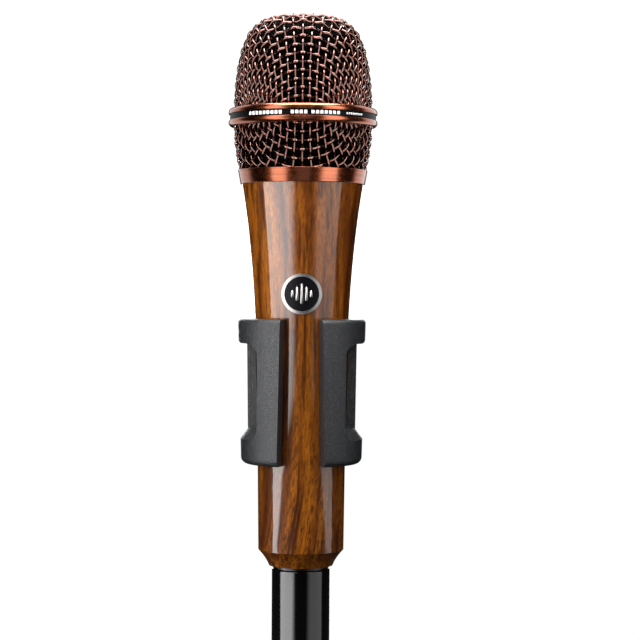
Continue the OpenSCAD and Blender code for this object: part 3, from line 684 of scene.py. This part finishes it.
def threaded_insert():
    """The brass stand insert, with its helical thread cut into the bore."""
    low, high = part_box("thread_insert")
    centre = ((low.x + high.x) / 2, (low.y + high.y) / 2)
    outer_r, crest_r = (high.x - low.x) / 2, 7.45 * MM
    pitch, depth = 25.4 / 27 * MM, 0.45 * MM
    around, per_turn = 96, 8
    rows = int((high.z - low.z) / pitch * per_turn)
    vertices, faces = [], []

    def ring(radius_at, z):
        first = len(vertices)
        for k in range(around):
            share = k / around
            angle = 2 * math.pi * share
            r = radius_at(share)
            vertices.append((centre[0] + r * math.cos(angle), centre[1] + r * math.sin(angle), z))
        return first

    starts = [ring(lambda share: outer_r, low.z), ring(lambda share: outer_r, high.z)]
    for n in range(rows + 1):
        z = high.z - (high.z - low.z) * n / rows
        fade = min(1.0, n / per_turn, (rows - n) / per_turn)

        def radius_at(share, z=z, fade=fade):
            phase = (z / pitch - share) % 1
            return crest_r + depth * fade * (1 - abs(2 * phase - 1))

        starts.append(ring(radius_at, z))
    for a, b in zip(starts, starts[1:] + starts[:1]):
        for k in range(around):
            after = (k + 1) % around
            faces.append((a + k, a + after, b + after, b + k))
    return make_piece("stand_thread", vertices, faces, "brass", "swivel", ["thread_insert"])


# ---------------------------------------------------------------- carried-over CAD nodes

# Width in millimetres of the softened edges of the moulded and turned nodes
SOFT_EDGES = {"clip_body": 0.45, "swivel_base": 0.5, "tension_knob": 0.35, "collar": 0.15, "plug_shell": 0.2,
              "plug_boot": 0.3, "swivel_pin": 0.2}


def dress_cad_nodes():
    """Gives each CAD node its material, smooth shading and, where it is moulded, softened edges."""
    for name, node in nodes.items():
        node.data.materials.clear()
        node.data.materials.append(materials[slot_of[name]])
        node.data.shade_smooth()
        weld = node.modifiers.new("weld", "WELD")
        weld.merge_threshold = 0.002 * MM
        if name not in SOFT_EDGES:
            creases = node.modifiers.new("creases", "EDGE_SPLIT")
            creases.split_angle = math.radians(32)
        else:
            bevel = node.modifiers.new("edges", "BEVEL")
            bevel.width = SOFT_EDGES[name] * MM
            bevel.segments = 3
            bevel.limit_method = "ANGLE"
            bevel.angle_limit = math.radians(30)
        normals = node.modifiers.new("normals", "WEIGHTED_NORMAL")
        normals.keep_sharp = True
        normals.weight = 100


# ---------------------------------------------------------------- studio

# Rows of each panel, as soft_panel takes them. The lacquered handle mirrors the first two as its long
# highlights, so their edges step where its facets turn.
LEFT_PANEL = ((300, -34, -56, 11.0), (160, -34, -56, 11.0), (140, -31, -50, 5.5), (134, -31, -50, 5.5),
              (131, -8, -74, 6.7), (83, -12, -77, 6.7), (46, -13, -77, 5.5), (34, -25, -77, 5.8),
              (28, -34, -77, 6.5), (13, -45, -77, 7.6), (-16, -63, -77, 7.4), (-19, -21, -84, 4.3),
              (-75, -21, -84, 4.3))
RIGHT_PANEL = ((300, 34, 56, 11.0), (160, 34, 56, 11.0), (140, 31, 50, 6.0), (134, 31, 50, 6.0),
               (131, 22, 74, 4.8), (95, 22, 76, 2.0), (83, 22, 78, 1.5), (46, 21, 78, 1.4), (34, 35, 80, 1.5),
               (13, 50, 86, 1.9), (-16, 67, 88, 1.9), (-19, 22, 90, 0.85), (-75, 22, 90, 0.85))
BACK_PANEL = ((500, 163, 197, 5.0), (20, 163, 197, 5.0), (0, 163, 197, 0.0))

# Inner edge, outer edge and brightness of the upright panels that only the copper parts or the wires see
COPPER_PANELS = ((-25, -55, 3.2), (30, 62, 3.2), (-100, -150, 1.1), (100, 150, 1.4), (-14, 14, 0.28))
WIRE_PANELS = ((-16, -33, 8.5), (16, 33, 8.5), (-10, 10, 3.0), (-148, -166, 5.0), (148, 166, 5.0))

AMBIENT = 0.012        # the room's light on the microphone
BACKDROP = 1.05        # the room as the camera sees it
FLOOR_SHADE = 0.008    # how much light the floor gives back
FLOOR_GLOW = 1.0       # the floor as the camera sees it
TOP_POWER = 20         # watts of the lamp overhead


def upright(inner, outer, level):
    """Rows of a panel that is the same all the way up past the head."""
    top, bottom = 300, -40
    return (top, inner, outer, level), (bottom, inner, outer, level)


def soft_panel(name, rows, lit_group, radius=0.15):
    """A tall curved softbox near the handle that only the lit_group's members see, and only in reflections.

    rows go from the top down, each (height above the tail in millimetres, inner edge, outer edge, brightness),
    with the edges in degrees round the axis from the front. The inner edge fades in, and other light passes
    through the panel."""
    columns, feather = 16, 0.22
    vertices, faces, levels = [], [], []
    for height, inner, outer, level in rows:
        for k in range(columns + 1):
            share = k / columns
            angle = math.radians(inner + (outer - inner) * share)
            vertices.append((axis_x + radius * math.sin(angle), axis_y - radius * math.cos(angle),
                             tail_z + height * MM))
            levels.append(level * min(1.0, share / feather))
    for i in range(len(rows) - 1):
        for k in range(columns):
            a = i * (columns + 1) + k
            faces.append((a, a + 1, a + columns + 2, a + columns + 1))
    mesh = bpy.data.meshes.new(name)
    mesh.from_pydata(vertices, [], faces)
    glow = mesh.attributes.new("glow", "FLOAT", "POINT")
    glow.data.foreach_set("value", levels)
    panel = bpy.data.objects.new(name, mesh)
    scene.collection.objects.link(panel)
    lit = bpy.data.materials.new(name)
    lit.use_nodes = True
    tree = lit.node_tree
    tree.nodes.clear()
    glowing = tree.nodes.new("ShaderNodeAttribute")
    glowing.attribute_name = "glow"
    emission = tree.nodes.new("ShaderNodeEmission")
    out = tree.nodes.new("ShaderNodeOutputMaterial")
    tree.links.new(glowing.outputs["Fac"], emission.inputs["Strength"])
    clear = tree.nodes.new("ShaderNodeBsdfTransparent")
    both = tree.nodes.new("ShaderNodeAddShader")
    tree.links.new(emission.outputs[0], both.inputs[0])
    tree.links.new(clear.outputs[0], both.inputs[1])
    tree.links.new(both.outputs[0], out.inputs["Surface"])
    mesh.materials.append(lit)
    panel.visible_camera = False
    panel.visible_shadow = False
    panel.light_linking.receiver_collection = lit_group


def camera_only(tree, low, high):
    """A value that is high for ripples straight from the camera and low for all others."""
    path = tree.nodes.new("ShaderNodeLightPath")
    level = tree.nodes.new("ShaderNodeMapRange")
    tree.links.new(path.outputs["Is Camera Ray"], level.inputs["Value"])
    level.inputs["To Min"].default_value = low
    level.inputs["To Max"].default_value = high
    return level.outputs["Result"]


def light_group(name, members):
    """A collection that limits a panel's light to its members."""
    group = bpy.data.collections.new(name)
    for member in members:
        group.objects.link(member)
    return group


def build_studio():
    """A plain pale floor, tall soft panels round the handle, and the camera level with the badge."""
    bright = [nodes["collar"], nodes["belt_ring"], nodes["belt_band"]]
    wires = [bpy.data.objects["upper_weave"], bpy.data.objects["lower_weave"]]
    others = [o for o in scene.objects if o.type == "MESH" and o not in bright and o not in wires]
    floor_z = cad_bounds[0][2] - 0.5 * MM
    reach = 3.0
    mesh = bpy.data.meshes.new("floor")
    corners = ((-reach, -reach), (reach, -reach), (reach, reach), (-reach, reach))
    mesh.from_pydata([(x, y, floor_z) for x, y in corners], [], [(0, 1, 2, 3)])
    floor = bpy.data.objects.new("floor", mesh)
    scene.collection.objects.link(floor)
    paint = bpy.data.materials.new("floor")
    paint.use_nodes = True
    bsdf = paint.node_tree.nodes["Principled BSDF"]
    bsdf.inputs["Base Color"].default_value = (FLOOR_SHADE, FLOOR_SHADE, FLOOR_SHADE, 1)
    bsdf.inputs["Roughness"].default_value = 0.9
    bsdf.inputs["Specular IOR Level"].default_value = 0.0
    bsdf.inputs["Emission Color"].default_value = (1, 1, 1, 1)
    glow = camera_only(paint.node_tree, 0.0, FLOOR_GLOW)
    paint.node_tree.links.new(glow, bsdf.inputs["Emission Strength"])
    mesh.materials.append(paint)

    world = bpy.data.worlds.new("studio")
    scene.world = world
    world.use_nodes = True
    back = world.node_tree.nodes["Background"]
    world.node_tree.links.new(camera_only(world.node_tree, AMBIENT, BACKDROP), back.inputs["Strength"])
    back.inputs["Color"].default_value = (1, 1, 1, 1)

    on_others = light_group("lit_others", others)
    on_bright = light_group("lit_copper", bright)
    on_wires = light_group("lit_wires", wires)
    soft_panel("left_panel", LEFT_PANEL, on_others)
    soft_panel("right_panel", RIGHT_PANEL, on_others)
    soft_panel("back_panel", BACK_PANEL, on_others, radius=0.5)
    for k, panel in enumerate(COPPER_PANELS):
        soft_panel(f"copper_panel_{k + 1}", upright(*panel), on_bright, radius=0.16)
    for k, panel in enumerate(WIRE_PANELS):
        soft_panel(f"wire_panel_{k + 1}", upright(*panel), on_wires, radius=0.17)
    lamp = bpy.data.lights.new("top", "AREA")
    lamp.shape, lamp.size, lamp.size_y, lamp.energy = "RECTANGLE", 0.6, 0.6, TOP_POWER
    top = bpy.data.objects.new("top", lamp)
    scene.collection.objects.link(top)
    top.location = (0, axis_y - 0.05, 0.75)
    aim = Vector((axis_x, axis_y, 0.1)) - top.location
    top.rotation_euler = aim.to_track_quat("-Z", "Y").to_euler()
    top.visible_camera = False

    lens_mm, sensor_mm, frame_px = 106.0, 36.0, 640
    distance, eye_z, eye_x, horizon_px, roll = 0.62, 0.0783, 0.00585, 30, math.radians(-0.3)
    camera_data = bpy.data.cameras.new("camera")
    camera_data.lens, camera_data.sensor_width = lens_mm, sensor_mm
    camera_data.shift_y = -horizon_px / frame_px
    camera_data.clip_start, camera_data.clip_end = 0.01, 20
    camera = bpy.data.objects.new("camera", camera_data)
    scene.collection.objects.link(camera)
    camera.location = (axis_x + eye_x, axis_y - distance, eye_z)
    camera.rotation_euler = (math.radians(90), roll, 0)
    scene.camera = camera
    scene.view_settings.view_transform = "Standard"


materials = build_materials()
dress_cad_nodes()
weave("upper_weave", crown_curve(), UPPER_REACH, lambda z: z > dome_low.z - TUCK, ["upper_mesh"])
weave("lower_weave", cup_curve(), LOWER_REACH,
      lambda z: (z > cup_low.z - TUCK) & (z < cup_high.z + TUCK), ["lower_mesh"])
wind_liner()
band_marks()
badge_motif()
threaded_insert()
build_studio()
